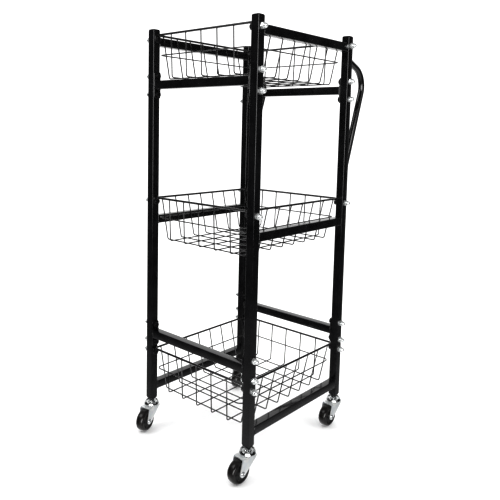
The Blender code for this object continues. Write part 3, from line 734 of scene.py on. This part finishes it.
def fork_mesh():
    """Pressed fork: legs folded down from the top plate, every edge eased."""
    legs = []
    for side in (-1, 1):
        bm = bmesh.new()
        a, b = sorted((side * 13.0, side * 15.0))
        loft(bm, [[(u, v, z) for u, z in fork_outline()] for v in (a, b)])
        mesh = finish_mesh(f"fork_leg_{side}", bm, [FORK_ZINC])
        legs.append(bpy.data.objects.new(f"fork_leg_{side}", mesh))
    bm = bmesh.new()
    outline = [(TRAIL, -15.0), (TRAIL, 15.0)]
    outline += [(-2.0 + 15.0 * math.cos(math.radians(a)) * 0.93, 15.0 * math.sin(math.radians(a))) for a in range(90, 271, 10)]
    loft(bm, [[(u, v, z) for u, v in outline] for z in (FORK_TOP - 2.0, FORK_TOP)])
    body = bpy.data.objects.new("fork_press", finish_mesh("fork_press", bm, [FORK_ZINC]))
    for obj in (body, *legs):
        scene.collection.objects.link(obj)
    for leg in legs:
        join = body.modifiers.new("join", "BOOLEAN")
        join.operation, join.object, join.solver = "UNION", leg, "EXACT"
    ease = body.modifiers.new("ease", "BEVEL")
    ease.width, ease.segments, ease.limit_method = 0.0006, 3, "ANGLE"
    ease.angle_limit = math.radians(50)
    ease.use_clamp_overlap = True
    bpy.context.view_layer.update()
    mesh = bpy.data.meshes.new_from_object(body.evaluated_get(bpy.context.evaluated_depsgraph_get()))
    for obj in (body, *legs):
        bpy.data.objects.remove(obj)
    bm = bmesh.new()
    bm.from_mesh(mesh)
    # lower bearing race, rolled up from the plate
    lathe(bm, [(3.6, 56.8), (15.9, 56.8), (17.0, 57.7), (16.6, 58.3), (16.0, 58.9), (15.6, 59.5), (15.1, 59.8), (3.6, 59.8)], 72)
    bpy.data.meshes.remove(mesh)
    return finish_mesh("caster_fork_press", bm, [FORK_ZINC], 32)


def axle_mesh():
    """Riveted pin; each head has a dimpled centre."""
    half = [(0, 16.5), (2.2, 16.5), (2.7, 16.9), (3.4, 17.2), (4.4, 16.9), (5.1, 16.2), (5.4, 15.5), (5.3, 15.2), (3.0, 15.2)]
    profile = half + [(r, -z) for r, z in reversed(half)]
    bm = bmesh.new()
    lathe(bm, profile, 40)
    return finish_mesh("caster_rivet", bm, [ZINC], 30)


def wheel_mesh():
    """Moulded wheel: rounded tread, a step down to the web and a raised hub."""
    bm = bmesh.new()
    web = [(3.7, 10.9), (4.1, 11.6), (6.9, 11.7), (7.6, 11.3), (8.0, 10.3), (8.6, 9.6), (10.0, 9.3), (17.4, 9.0), (18.4, 9.2), (19.2, 9.8)]
    tread = [(18.9, 9.5), (19.6, 10.1), (20.5, 10.45), (22.0, 10.5), (23.5, 10.1), (24.8, 9.2), (25.85, 7.8), (26.5, 6.0), (26.88, 3.8), (26.99, 1.6), (27.0, 0.25)]
    core = [(r, -z) for r, z in web] + [(19.2, 0.0)] + list(reversed(web))
    lathe(bm, core, 96, 1)
    lathe(bm, [(18.1, 0.0)] + tread + [(r, -z) for r, z in reversed(tread)], 96, 0)
    # six ribs on each side of the web
    for side in (-1, 1):
        for k in range(6):
            turn = Matrix.Rotation(2 * math.pi * k / 6, 4, "Z")
            rows = [(1.0, 8.5), (0.9, 9.9), (0.6, 10.2)]
            rings = []
            for w, z in rows:
                rings.append([turn @ Vector(p) for p in ((7.6, -w, side * z), (18.9, -w, side * z), (18.9, w, side * z), (7.6, w, side * z))])
            loft(bm, rings, mat=1)
    return finish_mesh("caster_wheel_moulding", bm, [TREAD, HUB], 34)


PLUG, CUP, FORK, AXLE, WHEEL = plug_mesh(), cup_mesh(), fork_mesh(), axle_mesh(), wheel_mesh()
for corner, (sx, sy) in POSTS.items():
    post = Vector((sx * HALF_X, sy * HALF_Y, 0)) * MM
    lo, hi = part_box("caster_wheel_" + corner)
    hub = (lo + hi) / 2 - MIDDLE
    trail = math.atan2(hub.y - post.y, hub.x - post.x)
    turned = Matrix.Translation(post) @ Matrix.Rotation(trail, 4, "Z")
    axle = Matrix.Translation(Vector((hub.x, hub.y, WHEEL_RADIUS * MM))) @ Matrix.Rotation(trail, 4, "Z") @ Matrix.Rotation(-math.pi / 2, 4, "X")
    place("caster_plug_" + corner, PLUG, "frame", (), Matrix.Translation(post))
    place("caster_cup_" + corner, CUP, "frame", ["caster_stem_" + corner], Matrix.Translation(post))
    place("caster_fork_press_" + corner, FORK, corner + "_fork", ["caster_fork_" + corner], turned)
    place("caster_rivet_" + corner, AXLE, corner + "_fork", ["caster_axle_" + corner], axle)
    place("caster_wheel_moulding_" + corner, WHEEL, corner + "_wheel", ["caster_wheel_" + corner], axle)


# ---- floor -------------------------------------------------------------------
def studio_floor():
    bm = bmesh.new()
    bmesh.ops.create_grid(bm, x_segments=8, y_segments=8, size=9.0)
    mesh = bpy.data.meshes.new("studio_floor")
    bm.to_mesh(mesh)
    bm.free()
    n = Nodes("studio_floor_paper")
    n.put("Base Color", n.ramp(n.noise(1.4, 3.0, 0.5), (0.935, 0.935, 0.935), (0.95, 0.95, 0.95)))
    n.put("Roughness", 0.9)
    n.put("Specular IOR Level", 0.0)
    mesh.materials.append(n.mat)
    obj = bpy.data.objects.new("studio_floor", mesh)
    scene.collection.objects.link(obj)
    obj.visible_glossy = False


studio_floor()


# ---- light -------------------------------------------------------------------
TO_CAMERA = Vector((0.6655, -0.7397, 0.0)).normalized()


FILL = 1.4


def studio_world():
    """White backdrop to the camera, an even fill for diffuse light, and for reflections
    a bright backdrop, dark flags left and right, and a soft box by the camera."""
    world = bpy.data.worlds.new("studio")
    scene.world = world
    world.use_nodes = True
    tree = world.node_tree
    tree.nodes.clear()
    out = tree.nodes.new("ShaderNodeOutputWorld")
    coords = tree.nodes.new("ShaderNodeTexCoord")
    split = tree.nodes.new("ShaderNodeSeparateXYZ")
    tree.links.new(coords.outputs["Generated"], split.inputs[0])

    def dot(vector):
        node = tree.nodes.new("ShaderNodeVectorMath")
        node.operation = "DOT_PRODUCT"
        tree.links.new(coords.outputs["Generated"], node.inputs[0])
        node.inputs[1].default_value = vector
        return node.outputs["Value"]

    def step(value, start, end, low=0.0, high=1.0):
        node = tree.nodes.new("ShaderNodeMapRange")
        node.interpolation_type = "SMOOTHSTEP"
        tree.links.new(value, node.inputs["Value"])
        node.inputs["From Min"].default_value = start
        node.inputs["From Max"].default_value = end
        node.inputs["To Min"].default_value = low
        node.inputs["To Max"].default_value = high
        return node.outputs["Result"]

    def combine(operation, a, b):
        node = tree.nodes.new("ShaderNodeMath")
        node.operation = operation
        for i, value in enumerate((a, b)):
            if isinstance(value, (int, float)):
                node.inputs[i].default_value = value
            else:
                tree.links.new(value, node.inputs[i])
        return node.outputs["Value"]

    z = split.outputs["Z"]
    towards = dot(TO_CAMERA)
    back = step(dot(-TO_CAMERA), 0.25, 0.80, 0.0, 1.0)
    below = step(z, -0.24, -0.74, 0.0, 1.0)
    above = step(z, 0.80, 0.97, 0.0, 0.35)
    box = combine("MULTIPLY", step(towards, 0.80, 0.93), step(z, -0.22, -0.02))
    box = combine("MULTIPLY", box, step(z, 0.42, 0.28))
    glossy = combine("ADD", combine("ADD", back, below), combine("ADD", above, combine("MULTIPLY", box, 7.0)))
    glossy = combine("ADD", glossy, 0.015)

    path = tree.nodes.new("ShaderNodeLightPath")
    lit = combine("ADD", combine("MULTIPLY", path.outputs["Is Glossy Ray"], combine("SUBTRACT", glossy, FILL)), FILL)
    shader = tree.nodes.new("ShaderNodeBackground")
    tree.links.new(lit, shader.inputs["Strength"])
    shader.inputs["Color"].default_value = (1, 1, 1, 1)
    tree.links.new(shader.outputs[0], out.inputs["Surface"])
    world.cycles.sampling_method = "NONE"


def soft_light(name, location, target, size, power):
    data = bpy.data.lights.new(name, "AREA")
    data.shape = "DISK"
    data.size = size
    data.energy = power
    obj = bpy.data.objects.new(name, data)
    scene.collection.objects.link(obj)
    obj.location = location
    obj.rotation_mode = "QUATERNION"
    obj.rotation_quaternion = (Vector(target) - Vector(location)).to_track_quat("-Z", "Y")
    obj.visible_camera = False
    return obj


studio_world()
soft_light("key", (-1.3, -2.1, 2.6), (0, 0, 0.45), 1.8, 26.0)
soft_light("fill", (2.4, 0.6, 1.9), (0, 0, 0.45), 1.6, 8.0)

# ---- camera ------------------------------------------------------------------
cam_data = bpy.data.cameras.new("camera")
cam_data.sensor_width = 36.0
cam_data.lens = 41.488
cam_data.clip_start, cam_data.clip_end = 0.05, 60.0
camera = bpy.data.objects.new("camera", cam_data)
scene.collection.objects.link(camera)
RIGHT = Vector((0.7418753, 0.6702081, 0.0210281))
UP = Vector((-0.0823852, 0.0599828, 0.9947938))
FORWARD = Vector((-0.6654575, 0.7397454, -0.0997150))
EYE = MIDDLE + Vector((0.93918, -1.09731, 0.77021))
turn = Matrix((RIGHT, UP, -FORWARD)).transposed().to_4x4()
camera.matrix_world = Matrix.Translation(EYE) @ turn
scene.camera = camera


def shift_at_rest(prop, value):
    """The lens shift belongs to the main view; a camera moved elsewhere looks straight at the cart."""
    curve = cam_data.driver_add(prop)
    driver = curve.driver
    driver.type = "SCRIPTED"
    for name, channel in (("px", "LOC_X"), ("py", "LOC_Y")):
        var = driver.variables.new()
        var.name = name
        var.type = "TRANSFORMS"
        var.targets[0].id = camera
        var.targets[0].transform_type = channel
        var.targets[0].transform_space = "WORLD_SPACE"
    driver.expression = f"{value} if abs(px - ({EYE.x:.5f})) + abs(py - ({EYE.y:.5f})) < 0.002 else 0"


shift_at_rest("shift_x", 0.030631)
shift_at_rest("shift_y", -0.128441)
scene.view_settings.view_transform = "Standard"
scene.view_settings.look = "None"
scene.view_settings.gamma = 0.72

left_over = [n for n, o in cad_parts.items() if not o.hide_render]
if left_over:
    raise RuntimeError(f"CAD nodes still shown: {left_over}")
